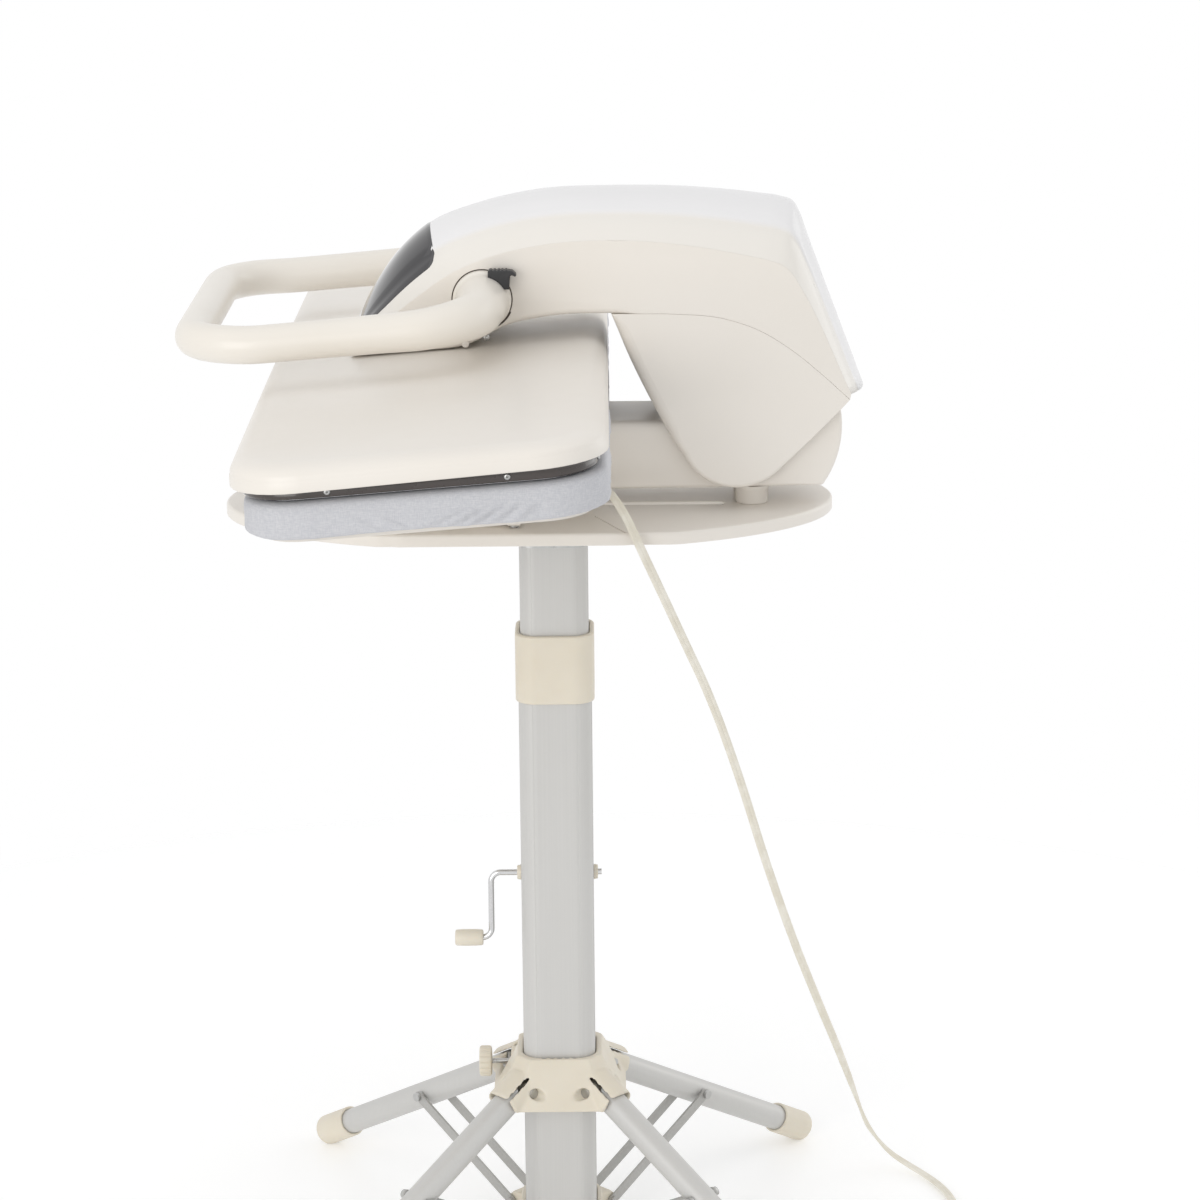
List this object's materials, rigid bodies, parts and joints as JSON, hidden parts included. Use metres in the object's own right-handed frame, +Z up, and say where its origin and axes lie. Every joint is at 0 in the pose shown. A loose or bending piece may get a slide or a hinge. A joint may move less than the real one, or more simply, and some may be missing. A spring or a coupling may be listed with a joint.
{
  "type": "steam ironing press",
  "caption": "Steam ironing press with a padded board and a hinged heated platen, on a table plate and crank-raised column with folding splayed legs.",
  "frame": {"origin": "middle of the object's bounding box in X and Y, on the floor that the feet stand on (without the loose cord)", "axes": "+Z up, +X along the board's long side, -Y towards the person who uses the press"},
  "size_m": [0.84, 0.642, 0.902],
  "materials": {
    "silver_paint": "satin silver-grey coating",
    "cream_plastic": "satin moulded cream",
    "steel": "plated",
    "black_plastic": "matt",
    "ivory_plastic": "smooth satin ivory",
    "white_plastic": "smooth satin cool white",
    "foam": "soft felted pad",
    "grey_cloth": "woven light blue-grey cloth",
    "circuit_board": "laminate",
    "clear_plastic": "translucent",
    "dark_band": "dark brown enamel",
    "aluminium": "smooth",
    "cord_sheath": "smooth ribbed sheath",
    "brass_pins": "plated"
  },
  "bodies": {
    "stand": {"column_outer_tube": "silver_paint", "column_collar": "cream_plastic", "column_end_plug": "cream_plastic", "lower_collar": "cream_plastic", "crank_bushes": "cream_plastic"},
    "crank": {"crank_rod": "steel", "crank_pinion": "steel"},
    "crank_grip": {"crank_knob": "cream_plastic"},
    "hub": {"leg_hub": "cream_plastic", "hub_pivot_screws": "steel"},
    "clamp": {"clamp_knob": "cream_plastic", "clamp_screw": "steel"},
    "leg_1": {"leg_tube_1": "silver_paint", "foot_cap_1": "cream_plastic", "leg_pins_1": "steel"},
    "brace_1": {"brace_1": "steel"},
    "leg_2": {"leg_tube_2": "silver_paint", "foot_cap_2": "cream_plastic", "leg_pins_2": "steel"},
    "brace_2": {"brace_2": "steel"},
    "leg_3": {"leg_tube_3": "silver_paint", "foot_cap_3": "cream_plastic", "leg_pins_3": "steel"},
    "brace_3": {"brace_3": "steel"},
    "leg_4": {"leg_tube_4": "silver_paint", "foot_cap_4": "cream_plastic", "leg_pins_4": "steel"},
    "brace_4": {"brace_4": "steel"},
    "upper": {"column_inner_tube": "silver_paint", "height_rack": "steel", "table_bracket": "steel", "table_top": "ivory_plastic", "table_screws": "steel", "base_housing": "ivory_plastic", "base_feet": "ivory_plastic", "hinge_shaft_springs": "steel", "board_neck": "ivory_plastic", "board_pan": "ivory_plastic", "board_pad": "foam", "board_cover": "grey_cloth", "cord_gland": "ivory_plastic", "power_cord": "cord_sheath", "cord_coil": "cord_sheath", "mains_plug": "cord_sheath", "plug_pins": "brass_pins"},
    "arm": {"arm_top_cover": "white_plastic", "arm_side_shell": "ivory_plastic", "hinge_cheeks": "ivory_plastic", "head_bracket": "steel", "control_panel": "white_plastic", "control_board": "circuit_board", "water_tank": "clear_plastic", "steam_pump": "steel", "platen_cover": "ivory_plastic", "heat_band": "dark_band", "heated_plate": "aluminium", "heating_element": "steel", "platen_screws": "steel"},
    "handle": {"handle": "ivory_plastic"},
    "latch": {"handle_latch": "black_plastic"}
  },
  "joints": [
    {"name": "height_slide", "type": "slide", "parent": "stand", "child": "upper", "axis": [0, 0, 1], "range_m": [-0.07, 0.1]},
    {"name": "crank_turn", "type": "hinge", "parent": "stand", "child": "crank", "pos_m": [0, -0.01074, 0.329], "axis": [0, -1, 0], "range_deg": [-700, 1000]},
    {"name": "crank_grip_spin", "type": "hinge", "parent": "crank", "child": "crank_grip", "pos_m": [0.00532, -0.05474, 0.27376], "axis": [0, 1, 0], "continuous": true},
    {"name": "hub_slide", "type": "slide", "parent": "stand", "child": "hub", "axis": [0, 0, 1], "range_m": [0, 0.1203]},
    {"name": "clamp_turn", "type": "hinge", "parent": "hub", "child": "clamp", "pos_m": [-0.0165, -0.04374, 0.155], "axis": [0, -1, 0], "range_deg": [0, 360]},
    {"name": "leg_fold_1", "type": "hinge", "parent": "hub", "child": "leg_1", "pos_m": [0.03345, 0.0527, 0.15], "axis": [-0.7071, 0.7071, 0], "range_deg": [0, 40.4]},
    {"name": "brace_fold_1", "type": "hinge", "parent": "leg_1", "child": "brace_1", "pos_m": [0.11558, 0.13484, 0.08667], "axis": [-0.7071, 0.7071, 0], "range_deg": [-80.8, 0]},
    {"name": "leg_fold_2", "type": "hinge", "parent": "hub", "child": "leg_2", "pos_m": [-0.03345, 0.0527, 0.15], "axis": [-0.7071, -0.7071, 0], "range_deg": [0, 40.4]},
    {"name": "brace_fold_2", "type": "hinge", "parent": "leg_2", "child": "brace_2", "pos_m": [-0.11558, 0.13484, 0.08667], "axis": [-0.7071, -0.7071, 0], "range_deg": [-80.8, 0]},
    {"name": "leg_fold_3", "type": "hinge", "parent": "hub", "child": "leg_3", "pos_m": [-0.03345, -0.01419, 0.15], "axis": [0.7071, -0.7071, 0], "range_deg": [0, 40.4]},
    {"name": "brace_fold_3", "type": "hinge", "parent": "leg_3", "child": "brace_3", "pos_m": [-0.11558, -0.09632, 0.08667], "axis": [0.7071, -0.7071, 0], "range_deg": [-80.8, 0]},
    {"name": "leg_fold_4", "type": "hinge", "parent": "hub", "child": "leg_4", "pos_m": [0.03345, -0.01419, 0.15], "axis": [0.7071, 0.7071, 0], "range_deg": [0, 40.4]},
    {"name": "brace_fold_4", "type": "hinge", "parent": "leg_4", "child": "brace_4", "pos_m": [0.11558, -0.09632, 0.08667], "axis": [0.7071, 0.7071, 0], "range_deg": [-80.8, 0]},
    {"name": "arm_open", "type": "hinge", "parent": "upper", "child": "arm", "pos_m": [0, 0.16626, 0.715], "axis": [-1, 0, 0], "range_deg": [0, 45]},
    {"name": "handle_lift", "type": "hinge", "parent": "arm", "child": "handle", "pos_m": [0, -0.03344, 0.822], "axis": [-1, 0, 0], "range_deg": [0, 50]},
    {"name": "latch_press", "type": "slide", "parent": "handle", "child": "latch", "axis": [0, -1, 0], "range_m": [0, 0.003], "stiffness_N_per_m": 800}
  ],
  "couplings": [
    {"joint": "crank_turn", "follows": "height_slide", "rad_per_m": 166.67},
    {"joint": "leg_fold_1", "follows": "hub_slide", "rad_per_m": 5.8576},
    {"joint": "brace_fold_1", "follows": "hub_slide", "rad_per_m": -11.715},
    {"joint": "leg_fold_2", "follows": "hub_slide", "rad_per_m": 5.8576},
    {"joint": "brace_fold_2", "follows": "hub_slide", "rad_per_m": -11.715},
    {"joint": "leg_fold_3", "follows": "hub_slide", "rad_per_m": 5.8576},
    {"joint": "brace_fold_3", "follows": "hub_slide", "rad_per_m": -11.715},
    {"joint": "leg_fold_4", "follows": "hub_slide", "rad_per_m": 5.8576},
    {"joint": "brace_fold_4", "follows": "hub_slide", "rad_per_m": -11.715}
  ]
}
